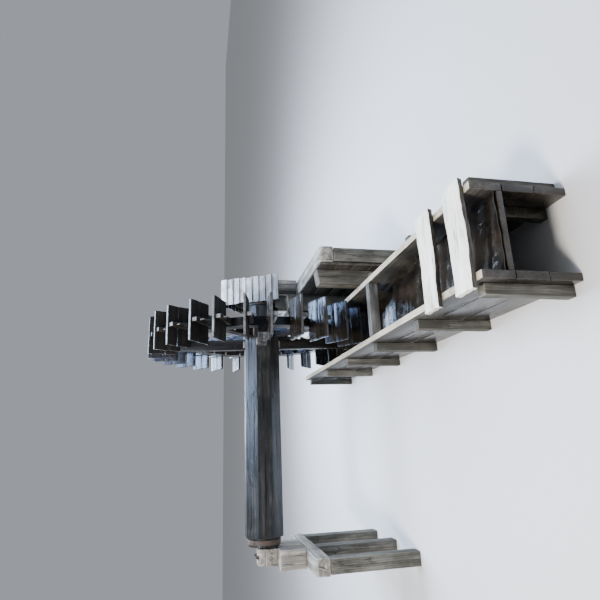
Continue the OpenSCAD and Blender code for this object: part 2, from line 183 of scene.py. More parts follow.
def giveGrain(piece, along, seed):
    # wood coordinates on each point: along the fibres, across them, through them
    mesh = piece.data
    co = np.empty(len(mesh.vertices) * 3, np.float32)
    mesh.vertices.foreach_get("co", co)
    co = co.reshape(-1, 3)
    if isinstance(along, str):
        along = Vector([float(letter == along) for letter in "XYZ"])
    along = along.normalized()
    across = along.cross(Vector((1, 0, 0)) if abs(along.x) < 0.9 else Vector((0, 0, 1))).normalized()
    through = along.cross(across)
    middle = (co.max(0) + co.min(0)) / 2
    dice = random.Random(seed)
    aside, slide = grainValues["pithAside"], grainValues["slide"]
    pith = (dice.uniform(-aside, aside), dice.uniform(*grainValues["pithDeep"]))
    grain = np.stack([(co - middle) @ np.array(v, np.float32) for v in (along, across, through)], 1)
    grain += np.array([dice.uniform(-slide, slide), *pith], np.float32)
    made = mesh.attributes.new("grain", "FLOAT_VECTOR", "POINT")
    made.data.foreach_set("vector", grain.astype(np.float32).ravel())
    return piece


def finishPiece(piece, finish, body, node=None, smooth=35):
    finishes = finish if isinstance(finish, tuple) else (finish,)
    mesh = piece.data
    index = [face.material_index for face in mesh.polygons]
    mesh.materials.clear()
    for one in finishes:
        mesh.materials.append(one)
    for face, i in zip(mesh.polygons, index):
        face.material_index = min(i, len(finishes) - 1)
    pick(piece)
    bpy.ops.object.shade_smooth_by_angle(angle=math.radians(smooth))
    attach(piece, body)
    if node:
        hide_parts(node)
    return piece


def markFaces(piece, slot, test):  # test gets a face's middle and normal
    for face in piece.data.polygons:
        if test(face.center, face.normal):
            face.material_index = slot


def paintFaces(piece, finish, test):
    piece.data.materials.append(finish)
    markFaces(piece, len(piece.data.materials) - 1, test)


def looseCopies(node):  # the solids of a CAD node as clean meshes of their own
    piece = newObject(node + "_copy", cad[node].data.copy())
    markSlots(piece)
    editMode(piece)
    bpy.ops.mesh.select_all(action="SELECT")
    bpy.ops.mesh.customdata_custom_splitnormals_clear()
    bpy.ops.mesh.remove_doubles(threshold=0.00005)
    bpy.ops.mesh.dissolve_limited(angle_limit=math.radians(1))
    bpy.ops.mesh.separate(type="LOOSE")
    objectMode()
    return list(bpy.context.selected_objects)


def boxOf(piece):
    co = [v.co for v in piece.data.vertices]
    return [[side(c[i] for c in co) for i in range(3)] for side in (min, max)]


def middleOf(piece):
    return Vector([(low + high) / 2 for low, high in zip(*boxOf(piece))])


def nearBox(piece, point, room):
    low, high = boxOf(piece)
    return all(low[i] - room < point[i] < high[i] + room for i in range(3))


def meanOf(points):
    return sum(points, Vector()) / len(points)


def sliceAlong(piece, axis, pitch):  # loops across a timber, so that its sides can wander
    low, high = (corner[axis] for corner in boxOf(piece))
    cuts = max(1, int((high - low) / pitch))
    normal = [0, 0, 0]
    normal[axis] = 1
    editMode(piece)
    for i in range(1, cuts):
        at = [0, 0, 0]
        at[axis] = low + (high - low) * i / cuts
        bpy.ops.mesh.select_all(action="SELECT")
        bpy.ops.mesh.bisect(plane_co=at, plane_no=normal)
    objectMode()


def move(x, y, z):
    return Matrix.Translation((x, y, z))


def turn(angle, axis):
    return Matrix.Rotation(math.radians(angle), 4, axis)


def radialTurn(angle):  # turns what was modelled upwards from the axle to an angle over upstream
    return move(0, 0, axleZ) @ turn(90 - angle, "X")


def angleOf(point):
    return math.degrees(math.atan2(point.z - axleZ, -point.y))


# nodes of a finish

def feed(tree, socket, value):  # links what comes from a node, sets a number or a colour
    if isinstance(value, bpy.types.NodeSocket):
        tree.links.new(value, socket)
    else:
        socket.default_value = (*value, 1) if socket.type == "RGBA" else value


def put(tree, kind, settings=None, **inputs):  # inputs go by name, or by number as i0, i1, i2
    made = tree.nodes.new(kind)
    for key, value in (settings or {}).items():
        setattr(made, key, value)
    for key, value in inputs.items():
        feed(tree, made.inputs[int(key[1:]) if key[1:].isdigit() else key.replace("_", " ")], value)
    return made


def newFinish(name):
    finish = bpy.data.materials.new(name)
    finish.use_nodes = True
    return finish, finish.node_tree


def setShader(tree, **inputs):
    for key, value in inputs.items():
        feed(tree, tree.nodes["Principled BSDF"].inputs[key.replace("_", " ")], value)


def grey(value):
    return (value, value, value)


def ramp(tree, factor, *stops):
    made = put(tree, "ShaderNodeValToRGB", Fac=factor)
    band = made.color_ramp.elements
    while len(band) < len(stops):
        band.new(0.5)
    for element, (place, colour) in zip(band, stops):
        element.position = place
        element.color = (*colour, 1)
    return made.outputs[0]


def mix(tree, factor, a, b, blend="MIX"):
    made = put(tree, "ShaderNodeMix", {"data_type": "RGBA", "blend_type": blend}, i0=factor, i6=a, i7=b)
    return made.outputs[2]


def math3(tree, operation, a, b, c=0.0):
    return put(tree, "ShaderNodeMath", {"operation": operation}, i0=a, i1=b, i2=c).outputs[0]


def plus(tree, a, b):
    return math3(tree, "ADD", a, b)


def minus(tree, a, b):
    return math3(tree, "SUBTRACT", a, b)


def times(tree, a, b):
    return math3(tree, "MULTIPLY", a, b)


def onAxis(tree, vector, axis):
    return put(tree, "ShaderNodeSeparateXYZ", Vector=vector).outputs[axis]


def goOver(tree, value, low, high, start=1.0, end=0.0):  # start up to low, end from high on
    return put(tree, "ShaderNodeMapRange", Value=value, From_Min=low, From_Max=high, To_Min=start,
               To_Max=end).outputs[0]


def stretch(tree, vector, scale):
    return put(tree, "ShaderNodeMapping", Vector=vector, Scale=scale).outputs[0]


def noise(tree, vector, scale, detail, rough=0.5, bend=0.0):
    return put(tree, "ShaderNodeTexNoise", Vector=vector, Scale=scale, Detail=detail, Roughness=rough,
               Distortion=bend).outputs["Fac"]


def bump(tree, height, strength, distance):
    return put(tree, "ShaderNodeBump", Height=height, Strength=strength, Distance=distance).outputs[0]


# wood, iron and water

grainNoises = {  # stretch along, across and through the grain, then scale, detail, roughness and bend
    "fibre": ((2.2, 60, 60), 2.0, 6.0, 0.65),
    "streak": ((0.7, 11, 11), 1.6, 5.0, 0.6, 0.4),
    "crack": ((1.1, 17, 17), 1.0, 4.0, 0.55, 0.8),
}
cracked = {"cover": 0.85, "shade": 0.22}
mossy = {"colour": (0.075, 0.085, 0.03), "size": 9.0}
# painted shade: the grey that darkens the roof towards the eave
eaveShadeGrey = grey(0.42)
wetted = {"cover": 0.9, "rough": 0.24, "ragged": 0.35, "middle": 0.17}
# the painted wheel shadow, with the wet of its spray: its colour and how ragged its edge is
sprayed = {"colour": (0.2, 0.2, 0.19), "ragged": 0.12}
plainLook = dict(  # what holds where a look's own row is silent
    stainSize=4.0, stainShare=0.5, stainSoft=0.1, stainDepth=0.5, rough=0.85, gloss=0.0, cracks=0.5,
    rings=22.0, bump=0.6, specular=0.35, skyTint=grey(1.0), wetTint=(0.34, 0.31, 0.27))


def timberFinish(name, ownLook):
    look = {**plainLook, **ownLook}
    finish, tree = newFinish(name)
    wood = put(tree, "ShaderNodeAttribute", {"attribute_name": "grain"}).outputs["Vector"]
    place = put(tree, "ShaderNodeTexCoord").outputs["Object"]
    fibre, streak, cells = (noise(tree, stretch(tree, wood, size), *values)
                            for size, *values in grainNoises.values())

    # growth rings round the pith, which show as rings on ends and as long figure on sides
    wobble = put(tree, "ShaderNodeTexNoise", Vector=stretch(tree, wood, (0.9, 3.5, 3.5)), Scale=1.6,
                 Detail=3.0).outputs["Color"]
    bent = put(tree, "ShaderNodeVectorMath", {"operation": "MULTIPLY_ADD"}, i0=wobble,
               i1=(0.0, 0.05, 0.05), i2=wood).outputs[0]
    rings = put(tree, "ShaderNodeTexWave", {"wave_type": "RINGS", "rings_direction": "X"},
                Vector=bent, Scale=look["rings"], Distortion=1.2, Detail=2.0,
                Detail_Scale=1.5).outputs["Fac"]

    # drying cracks: thin lines along the grain, in patches
    width = 0.006 + 0.012 * look["cracks"]
    crack = ramp(tree, cells, (0.5 - width, grey(0)), (0.5, grey(1)), (0.5 + width, grey(0)))
    crack = times(tree, crack, ramp(tree, noise(tree, wood, 2.3, 2.0), (0.42, grey(0)), (0.6, grey(1))))

    # weather stains that run over the whole piece, not along its fibres
    cloud = noise(tree, place, look["stainSize"], 6.0, 0.62)
    share, soft = look["stainShare"], look["stainSoft"]
    stain = ramp(tree, cloud, (share - soft, grey(1)), (share + soft, grey(0)))

    tone = plus(tree, times(tree, streak, 0.75), times(tree, fibre, 0.35))
    tone = plus(tree, tone, times(tree, rings, 0.12))
    colour = ramp(tree, tone, (0.38, look["dark"]), (0.58, look["mid"]), (0.8, look["pale"]))
    colour = mix(tree, times(tree, stain, look["stainDepth"]), colour, look["stain"])
    crackColour = tuple(c * cracked["shade"] for c in look["dark"])
    colour = mix(tree, times(tree, crack, cracked["cover"]), colour, crackColour)
    matt = math3(tree, "MULTIPLY_ADD", streak, -0.12, look["rough"] + 0.06)
    matt = minus(tree, matt, times(tree, stain, look["gloss"]))

    if "eaveShade" in look:  # painted shade: darker and greyer towards the eave
        shadeBelow = goOver(tree, onAxis(tree, place, 2), *look["eaveShade"])
        colour = mix(tree, times(tree, shadeBelow, plus(tree, streak, 0.3)), colour, eaveShadeGrey, "MULTIPLY")

    if "moss" in look:  # green on the faces that look up, in patches
        up = onAxis(tree, put(tree, "ShaderNodeNewGeometry").outputs["Normal"], 2)
        growth = ramp(tree, noise(tree, place, mossy["size"], 7.0, 0.7), (0.5, grey(0)), (0.62, grey(1)))
        cover = times(tree, growth, ramp(tree, up, (0.3, grey(0.25)), (0.8, grey(1))))
        colour = mix(tree, times(tree, cover, look["moss"]), colour, mossy["colour"])

    if "wet" in look:  # dark and shining below a ragged line
        ragged = math3(tree, "MULTIPLY_ADD", cloud, wetted["ragged"], -wetted["middle"])
        darkening = goOver(tree, plus(tree, onAxis(tree, place, 2), ragged), *look["wet"])
        colour = mix(tree, times(tree, darkening, wetted["cover"]), colour, look["wetTint"], "MULTIPLY")
        matt = minus(tree, matt, times(tree, darkening, look["rough"] - wetted["rough"]))

    if "spray" in look:  # painted shadow of the wheel, with the wet of its spray: dark on the side towards the wheel
        ragged = times(tree, minus(tree, cloud, 0.5), sprayed["ragged"])
        darkening = goOver(tree, plus(tree, onAxis(tree, place, 0), ragged), *look["spray"])
        colour = mix(tree, darkening, colour, sprayed["colour"], "MULTIPLY")

    relief = minus(tree, times(tree, fibre, 0.35), times(tree, crack, 1.6))
    relief = plus(tree, relief, times(tree, streak, 0.6))
    # the specular tint is a painted sky tint that colours the shine
    setShader(tree, Base_Color=colour, Roughness=matt, Specular_IOR_Level=look["specular"],
              Specular_Tint=look["skyTint"], Normal=bump(tree, relief, look["bump"], 0.006))
    return finish


def ironFinish(name, look):
    finish, tree = newFinish(name)
    place = put(tree, "ShaderNodeTexCoord").outputs["Object"]
    scale = noise(tree, place, 38.0, 8.0, 0.7)
    rust = plus(tree, times(tree, scale, 0.6), times(tree, noise(tree, place, 9.0, 4.0), 0.5))
    colour = ramp(tree, rust, (0.42, look["black"]), (0.56, look["brown"]), (0.7, look["rust"]))
    setShader(tree, Base_Color=colour, Roughness=ramp(tree, rust, (0.4, grey(0.45)), (0.65, grey(0.9))),
              Metallic=ramp(tree, rust, (0.4, grey(0.75)), (0.6, grey(0.1))),
              Normal=bump(tree, scale, 0.5, 0.002))
    return finish


def waterFinish(name, look):
    finish, tree = newFinish(name)
    place = put(tree, "ShaderNodeTexCoord").outputs["Object"]
    flow = stretch(tree, place, (1.0, 0.35, 1.0))
    colour = ramp(tree, noise(tree, flow, 7.0, 5.0), (0.35, look["deep"]), (0.7, look["shallow"]))

    # painted reflection of the sky, in a ragged patch on one half of the slope down to the wheel
    skyReflection = ramp(tree, noise(tree, flow, 15.0, 5.0, 0.6, 0.8), (0.35, grey(0)), (0.48, grey(1)))
    for axis, reach in ((1, "reflectionStart"), (1, "reflectionEnd"), (0, "reflectionSide")):
        skyReflection = times(tree, skyReflection, goOver(tree, onAxis(tree, place, axis), *look[reach], 0.0, 1.0))
    setShader(tree, Base_Color=mix(tree, skyReflection, colour, look["skyReflection"]), IOR=1.333, Coat_Weight=0.6,
              Coat_Roughness=0.03, Roughness=plus(tree, times(tree, skyReflection, 0.4), 0.05),
              Normal=bump(tree, noise(tree, flow, 26.0, 4.0, 0.55, 0.6), 0.5, 0.012))
    return finish


woodLooks = {
    # dark, mid and pale wood, then the stain of the weather, in spots of one over stainSize
    # wet and the painted wheel shadow go from the height or place up to which they are full to where they
    # end; so does the painted eave shade, with its depth after them; specular is the strength of the shine
    # and the painted sky tint its colour
    "paddle": dict(dark=(0.005, 0.0045, 0.004), mid=(0.016, 0.0135, 0.011), pale=(0.046, 0.039, 0.031),
        stain=(0.01, 0.0095, 0.0085), stainDepth=0.6, rough=0.52, gloss=0.2, cracks=0.7, wet=(1.4, 3.5),
        wetTint=(0.8, 0.76, 0.66), bump=0.8, skyTint=(0.5, 0.67, 1.0)),
    "paddleEdge": dict(dark=(0.01, 0.009, 0.0075), mid=(0.026, 0.023, 0.019), pale=(0.065, 0.058, 0.049),
        stain=(0.014, 0.0125, 0.0105), stainDepth=0.6, rough=0.6, cracks=0.3, wet=(0.9, 1.6),
        wetTint=(0.6, 0.56, 0.48)),
    # the outer ends of the paddle boards: a painted highlight, pale and bluish as if lit by the sky
    "paddleLitRim": dict(dark=(0.07, 0.07, 0.07), mid=(0.17, 0.173, 0.178), pale=(0.36, 0.37, 0.385),
        stain=(0.06, 0.056, 0.05), stainDepth=0.75, stainSize=9.0, rough=0.6, cracks=0.4, wet=(1.7, 2.6),
        wetTint=(0.22, 0.2, 0.18)),
    # painted shade for the sides of the paddle boards that face away from the light
    "underside": dict(dark=(0.0035, 0.003, 0.0026), mid=(0.009, 0.0078, 0.0066),
        pale=(0.026, 0.0225, 0.019), stain=(0.006, 0.0055, 0.005), stainDepth=0.6, rough=0.75, cracks=0.7,
        bump=0.8, specular=0.12),
    "start": dict(dark=(0.005, 0.0042, 0.0035), mid=(0.013, 0.011, 0.009), pale=(0.032, 0.027, 0.022),
        stain=(0.009, 0.008, 0.007), rough=0.55, wet=(1.4, 3.5), wetTint=(0.8, 0.76, 0.66)),
    # the ends of the starts: pale end grain with a painted highlight on it
    "startPaleLitTip": dict(dark=(0.07, 0.072, 0.076), mid=(0.15, 0.155, 0.165), pale=(0.32, 0.33, 0.345),
        stain=(0.05, 0.048, 0.045), stainDepth=0.7, stainSize=14.0, rough=0.7, wet=(1.0, 1.8),
        wetTint=(0.22, 0.2, 0.18)),
    # dark weather stains, with pale patches between them that are painted reflections of the sky on wet wood
    "wheel": dict(dark=(0.011, 0.0103, 0.009), mid=(0.043, 0.0405, 0.037), pale=(0.195, 0.19, 0.182),
        stain=(0.009, 0.0085, 0.0075), stainDepth=0.88, stainSize=6.5, stainSoft=0.07, rough=0.55,
        gloss=0.22, cracks=0.9, wet=(0.9, 1.6), wetTint=(0.6, 0.56, 0.48), skyTint=(0.6, 0.74, 1.0)),
    "wheelEdge": dict(dark=(0.03, 0.028, 0.026), mid=(0.07, 0.068, 0.063), pale=(0.17, 0.17, 0.168),
        stain=(0.02, 0.018, 0.015), rough=0.65, wet=(0.9, 1.4), wetTint=(0.5, 0.46, 0.38)),
    # painted shade, with wet from spray, for the faces of rim and arms
    "sprayed": dict(dark=(0.005, 0.0046, 0.0042), mid=(0.011, 0.0102, 0.0094), pale=(0.03, 0.029, 0.0275),
        stain=(0.008, 0.0075, 0.0065), stainDepth=0.6, rough=0.5, cracks=0.9, wet=(1.2, 3.2),
        wetTint=(0.7, 0.66, 0.58), specular=0.22, skyTint=(0.6, 0.72, 1.0)),
    "shaft": dict(dark=(0.0055, 0.0048, 0.004), mid=(0.0145, 0.013, 0.011), pale=(0.052, 0.0485, 0.044),
        stain=(0.005, 0.0053, 0.0042), stainDepth=0.75, stainSize=3.2, rough=0.46, gloss=0.15, cracks=1.2,
        bump=0.9, rings=14.0, specular=0.26, skyTint=(0.7, 0.81, 1.0)),
    "race": dict(dark=(0.024, 0.0215, 0.018), mid=(0.066, 0.06, 0.051), pale=(0.145, 0.134, 0.117),
        stain=(0.02, 0.018, 0.015), stainDepth=0.65, rough=0.7, wet=(0.5, 0.78), wetTint=(0.24, 0.21, 0.18),
        moss=0.35),
    "beam": dict(dark=(0.04, 0.04, 0.036), mid=(0.105, 0.105, 0.1), pale=(0.22, 0.22, 0.212),
        stain=(0.03, 0.029, 0.025), stainDepth=0.6, rough=0.72, cracks=0.8),
    "raceTop": dict(dark=(0.26, 0.22, 0.155), mid=(0.46, 0.4, 0.3), pale=(0.66, 0.59, 0.47),
        stain=(0.22, 0.185, 0.135)),
    "raceEdge": dict(dark=(0.045, 0.04, 0.032), mid=(0.1, 0.09, 0.074), pale=(0.19, 0.175, 0.15),
        stain=(0.035, 0.03, 0.024), rough=0.8, wet=(0.5, 0.78), wetTint=(0.28, 0.25, 0.21)),
    "plank": dict(dark=(0.52, 0.47, 0.38), mid=(0.8, 0.75, 0.65), pale=(0.93, 0.9, 0.83),
        stain=(0.5, 0.44, 0.35), stainDepth=0.3, rough=0.86, cracks=0.7),
    "plankBark": dict(dark=(0.02, 0.018, 0.016), mid=(0.055, 0.05, 0.044), pale=(0.13, 0.12, 0.108),
        stain=(0.18, 0.155, 0.12), stainSize=11.0, stainShare=0.42, rough=0.9, cracks=1.0),
    # the roof boards carry painted shade towards the eave
    "roof": dict(dark=(0.24, 0.245, 0.25), mid=(0.68, 0.695, 0.71), pale=(0.9, 0.92, 0.94),
        stain=(0.2, 0.2, 0.2), stainSize=7.0, rough=0.78, cracks=1.0, bump=1.0, eaveShade=(1.45, 2.0, 1.8)),
    # painted shadow: near black for the worn edges of the roof boards, as shadow lines under the laps
    "roofButtShade": dict(dark=(0.015, 0.0145, 0.0135), mid=(0.04, 0.039, 0.037), pale=(0.11, 0.108, 0.104),
        stain=(0.015, 0.014, 0.0125), rough=0.9),
    "bank": dict(dark=(0.012, 0.01, 0.008), mid=(0.032, 0.027, 0.021), pale=(0.075, 0.065, 0.052),
        stain=(0.014, 0.013, 0.01), stainDepth=0.6, rough=0.7, wet=(0.3, 0.7), moss=0.5),
    "bankEdge": dict(dark=(0.07, 0.06, 0.05), mid=(0.14, 0.12, 0.1), pale=(0.22, 0.2, 0.17),
        stain=(0.05, 0.045, 0.036), rough=0.82),
    "frame": dict(dark=(0.085, 0.077, 0.064), mid=(0.2, 0.184, 0.158), pale=(0.42, 0.395, 0.352),
        stain=(0.06, 0.055, 0.045), stainDepth=0.6, stainSize=3.0, rough=0.8, cracks=1.0, bump=0.8,
        moss=0.3),
    # frame wood with a painted shadow of the wheel, and the wet of its spray, on the side towards the wheel
    "splashedAndShadowed": dict(dark=(0.075, 0.071, 0.063), mid=(0.18, 0.172, 0.157), pale=(0.38, 0.368, 0.347),
        stain=(0.06, 0.055, 0.045), stainDepth=0.6, stainSize=3.0, rough=0.78, cracks=1.0, bump=0.8,
        spray=(0.585, 0.665)),
    "frameEdge": dict(dark=(0.15, 0.145, 0.13), mid=(0.28, 0.27, 0.245), pale=(0.46, 0.445, 0.42),
        stain=(0.1, 0.09, 0.075), rough=0.82),
    "post": dict(dark=(0.03, 0.028, 0.023), mid=(0.078, 0.074, 0.062), pale=(0.185, 0.176, 0.149),
        stain=(0.025, 0.023, 0.017), stainDepth=0.6, stainSize=3.5, rough=0.8, cracks=1.0, bump=0.8,
        moss=0.25),
    "postEdge": dict(dark=(0.06, 0.056, 0.047), mid=(0.128, 0.12, 0.101), pale=(0.25, 0.237, 0.204),
        stain=(0.035, 0.034, 0.026), rough=0.84),
    "shaftEdge": dict(dark=(0.016, 0.0155, 0.0145), mid=(0.04, 0.0395, 0.037), pale=(0.11, 0.11, 0.107),
        stain=(0.012, 0.0115, 0.01), rough=0.6),
    # painted shade for what lies inside and under the roof
    "roofShade": dict(dark=(0.008, 0.007, 0.006), mid=(0.024, 0.021, 0.018), pale=(0.06, 0.054, 0.046),
        stain=(0.012, 0.01, 0.009), rough=0.88, cracks=0.6),
    "peg": dict(dark=(0.09, 0.087, 0.08), mid=(0.22, 0.215, 0.2), pale=(0.42, 0.415, 0.4),
        stain=(0.03, 0.027, 0.022), stainDepth=0.6, stainSize=9.0, rough=0.6, wet=(0.9, 1.6),
        wetTint=(0.3, 0.27, 0.24)),
}
wood = {name: timberFinish(name, look) for name, look in woodLooks.items()}
iron = ironFinish("rustedIron", {"black": (0.02, 0.018, 0.017), "brown": (0.038, 0.027, 0.021),
                                 "rust": (0.08, 0.044, 0.027)})
# the bluish patch is a painted reflection of the sky
water = waterFinish("raceWater", {"deep": (0.004, 0.0035, 0.003), "shallow": (0.024, 0.017, 0.011),
                                  "skyReflection": (0.58, 0.68, 0.80), "reflectionStart": (-1.70, -1.52),
                                  "reflectionEnd": (-0.85, -1.05), "reflectionSide": (0.16, 0.02)})
print("finishes are made")


# camera, floor and light

cameraValues = {"place": (-1.300, -6.323, 2.467), "yaw": 16.44, "pitch": 11.79, "roll": 1.22, "focus": 29.16,
                "film": 36, "sight": 200}


def makeCamera(place, yaw, pitch, roll, focus, film, sight):
    yaw, pitch, roll = (math.radians(angle) for angle in (yaw, pitch, roll))
    ahead = Vector((math.sin(yaw) * math.cos(pitch), math.cos(yaw) * math.cos(pitch), -math.sin(pitch)))
    right = Vector((math.cos(yaw), -math.sin(yaw), 0))
    down = ahead.cross(right)
    scenesRight = right * math.cos(roll) - down * math.sin(roll)
    scenesDown = down * math.cos(roll) + right * math.sin(roll)
    lens = bpy.data.cameras.new("camera")
    lens.lens = focus
    lens.sensor_width = film
    lens.clip_end = sight
    camera = newObject("camera", lens)
    onItsSide = Matrix((scenesDown, scenesRight, -ahead)).transposed().to_4x4()
    camera.matrix_world = move(*place) @ onItsSide
    bpy.context.scene.camera = camera


makeCamera(**cameraValues)

floorValues = {"size": 80, "colour": (0.63, 0.62, 0.605), "rough": 0.9}
bpy.ops.mesh.primitive_plane_add(size=floorValues["size"], location=(0, 0, 0))
floor = settle(bpy.context.object)
floor.name = "floor"
paleFloor, floorTree = newFinish("paleFloor")
setShader(floorTree, Base_Color=floorValues["colour"], Roughness=floorValues["rough"])
floor.data.materials.append(paleFloor)

lightValues = {  # place, aim, size, power and tint
    "key": ((-4.0, -5.5, 7.0), (0, -0.6, 1.2), 1.8, 1150, (1.0, 0.94, 0.86)),
    "top": ((0.8, 1.0, 6.9), (0, 0.2, 1.2), 4.2, 1400, (0.63, 0.77, 1.0)),
    "above": ((0.7, -3.0, 7.0), (0, 0.4, 1.8), 4.6, 520, (0.55, 0.69, 1.0)),
    "back": ((-0.5, 4.0, 5.0), (0, -1.2, 1.2), 3.2, 620, (0.70, 0.82, 1.0)),
    "fill": ((6.0, -5.0, 3.5), (0, 0, 1.2), 5.0, 120, (0.92, 0.96, 1.0)),
}
for name, (place, aim, size, power, tint) in lightValues.items():
    lamp = bpy.data.lights.new(name, "AREA")
    lamp.shape = "DISK"
    lamp.size = size
    lamp.energy = power
    lamp.color = tint
    holder = newObject(name, lamp)
    holder.location = place
    holder.rotation_euler = (Vector(aim) - Vector(place)).to_track_quat("-Z", "Y").to_euler()

skyValues = {"Color": (0.86, 0.91, 1.0), "Strength": 0.4}
sky = bpy.data.worlds.new("studio")
sky.use_nodes = True
for name, value in skyValues.items():
    feed(sky.node_tree, sky.node_tree.nodes["Background"].inputs[name], value)
bpy.context.scene.world = sky
print("camera, floor and light stand")


# boards, pegs and cracks

dentSizes = {"board": 0.06, "start": 0.05, "timber": 0.11}
onEnd = 0.499  # share of a board's length past which a point lies on its end
standUp = turn(90, "X")  # sets what lies flat on its long edge


def sawnBoard(name, size, seed, edge, steps=(0, 0), ragged=(0, 0), cup=0.0, dent=0.0, corner=0.0):
    # a board along X, wide along Y and thick along Z, its middle at the origin; ragged is what the saw
    # took off its ends and its sides, corner what wear took off its corners
    length, width = size[:2]
    bpy.ops.mesh.primitive_cube_add(size=1)
    board = justAdded(name, size)
    for axis, cuts in enumerate(steps):
        if cuts:
            chooseEdges(board, axis)
            bpy.ops.mesh.subdivide(number_cuts=cuts)
            objectMode()
    dice = random.Random(seed)
    endShift, sideShift = {}, {}
    for v in board.data.vertices:
        x, y = v.co.xy
        row = round((y / width + 0.5) * (steps[1] + 1))
        column = round((x / length + 0.5) * (steps[0] + 1))
        if abs(x) > length * onEnd:
            spot = (row, x > 0)
            endShift.setdefault(spot, dice.uniform(0, ragged[0]))
            v.co.x -= math.copysign(endShift[spot], x)
            if abs(y) > width * onEnd and corner:
                v.co.x -= math.copysign(corner * dice.uniform(0.4, 1), x)
        if abs(y) > width * onEnd:
            spot = (column, y > 0)
            sideShift.setdefault(spot, dice.uniform(0, ragged[1]))
            v.co.y -= math.copysign(sideShift[spot], y)
        v.co.z += cup * ((2 * y / width) ** 2 - 1)
    softenEdges(board, edge)
    if dent:
        roughen(board, dent, dentSizes["board"])
    return board


def roundPeg(name, radius, length, sides, edge, taper=1.0):
    # along Z, its foot at the origin
    bpy.ops.mesh.primitive_cone_add(vertices=sides, radius1=radius, radius2=radius * taper, depth=length,
                                    location=(0, 0, length / 2))
    peg = justAdded(name)
    softenEdges(peg, edge, 1)
    return giveGrain(peg, "Z", 5)


def cutCracks(piece, cracks):
    # each crack: middle, direction, outward normal, length, width, depth
    cutters = []
    for middle, along, out, length, width, depth in cracks:
        bpy.ops.mesh.primitive_ico_sphere_add(subdivisions=1, radius=1)
        cutter = bpy.context.object
        along, out = Vector(along).normalized(), Vector(out).normalized()
        across = out.cross(along)
        shape = Matrix((along * length / 2, across * width / 2, out * depth)).transposed().to_4x4()
        cutter.data.transform(move(*middle) @ shape)
        cutters.append(cutter)
    cutter = join(cutters, "cutter")
    apply(piece, "BOOLEAN", operation="DIFFERENCE", solver="EXACT", object=cutter, use_self=True)
    remove(cutter)


nailValues = {"length": 0.0035, "sides": 6, "edge": 0.0015, "taper": 0.7}


def nailHeads(places, out, radius):
    # low forged heads at the given places, all facing out
    head = roundPeg("nail", radius, **nailValues)
    faceOut = Vector((0, 0, 1)).rotation_difference(Vector(out)).to_matrix().to_4x4()
    made = [copyPiece(head, move(*place) @ faceOut) for place in places]
    remove(head)
    return made


# paddles and starts

paddleValues = {
    "width": 0.472, "inner": 1.112, "outer": 1.440, "seat": 0.030, "thick": 0.028, "gap": 0.0012,
    "splits": (0.150, 0.185, 0.128, 0.172, 0.140),  # depth of the inner board in the five kinds
    "short": 0.006, "cup": 0.0015, "lean": 0.25, "paleLitEnd": 0.006,
    "inboard": {"ragged": (0.006, 0.0015)}, "outward": {"ragged": (0.006, 0.0035), "corner": 0.005},
    "worn": {"edge": 0.0035, "steps": (14, 3), "dent": 0.003},
    "nailRadius": 0.006, "nailSide": 0.014, "nailInner": 0.04, "nailBelow": 0.035, "nailAbove": 0.04,
    "nailOuter": 0.045, "nailSunk": 0.001,
}


def makePaddle(number, width, inner, outer, seat, thick, gap, splits, short, cup, lean, paleLitEnd, inboard,
               outward, worn, nailRadius, nailSide, nailInner, nailBelow, nailAbove, nailOuter, nailSunk):
    # two boards on the upper face of a start that points straight up
    dice = random.Random(40 + number)
    depth = outer - inner
    first = splits[number]
    boards = []
    for low, high, last in ((0, first, False), (first + gap, depth, True)):
        board = sawnBoard("board", (width - dice.uniform(0, short), high - low, thick), 10 * number + last,
                          cup=dice.uniform(-cup, cup), **worn, **(outward if last else inboard))
        board.data.transform(move(0, seat + thick / 2, inner + (low + high) / 2)
                             @ turn(dice.uniform(-lean, lean), "Y") @ standUp)
        giveGrain(board, "X", 7 * number + last)
        if last:
            # the outer end of the board gets a painted highlight
            markFaces(board, 2, lambda c, n: c.z > outer - paleLitEnd and n.z > 0.6)
        boards.append(board)
    top = seat + thick - nailSunk
    rows = (nailInner, first - nailBelow, first + nailAbove, depth - nailOuter)
    places = [(x, top, inner + row) for row in rows for x in (-nailSide, nailSide)]
    return boards, nailHeads(places, (0, 1, 0), nailRadius)


startValues = {"shoulder": 1.0953, "tip": 1.416, "width": 0.084, "tipWidth": 0.046, "thick": 0.060,
               "tenonWidth": 0.046, "tenonThick": 0.040, "tenonEnd": 0.890, "loops": 0.05, "edge": 0.004,
               "dent": 0.0025, "paleLitEnd": 0.012}


def makeStart(shoulder, tip, width, tipWidth, thick, tenonWidth, tenonThick, tenonEnd, loops, edge, dent,
              paleLitEnd):
    # tapered timber with a tenon through the rim, pointing straight up from the axle
    bpy.ops.mesh.primitive_cube_add(size=1, location=(0, 0, (shoulder + tip) / 2))
    start = justAdded("start", (width, thick, tip - shoulder))
    chooseFaces(start, lambda n: n.z > 0.9)
    bpy.ops.transform.resize(value=(tipWidth / width, 1, 1))
    objectMode()
    chooseFaces(start, lambda n: n.z < -0.9)
    bpy.ops.mesh.extrude_region_move(TRANSFORM_OT_translate={"value": (0, 0, 0)})
    bpy.ops.transform.resize(value=(tenonWidth / width, tenonThick / thick, 1))
    bpy.ops.mesh.extrude_region_move(TRANSFORM_OT_translate={"value": (0, 0, tenonEnd - shoulder)})
    objectMode()
    sliceAlong(start, 2, loops)
    softenEdges(start, edge, edgeFinish=False)
    roughen(start, dent, dentSizes["start"])
    # the tip's end: pale end grain with a painted highlight
    markFaces(start, 2, lambda c, n: c.z > tip - paleLitEnd and n.z > 0.8)
    return giveGrain(start, "Z", 3)


pegValues = {"lengths": (0.092, 0.128), "heights": (1.165, 1.350), "top": 0.064, "lean": 6,
             "sunk": (0.008, 0.020), "shape": {"radius": 0.009, "sides": 8, "edge": 0.002, "taper": 0.85}}


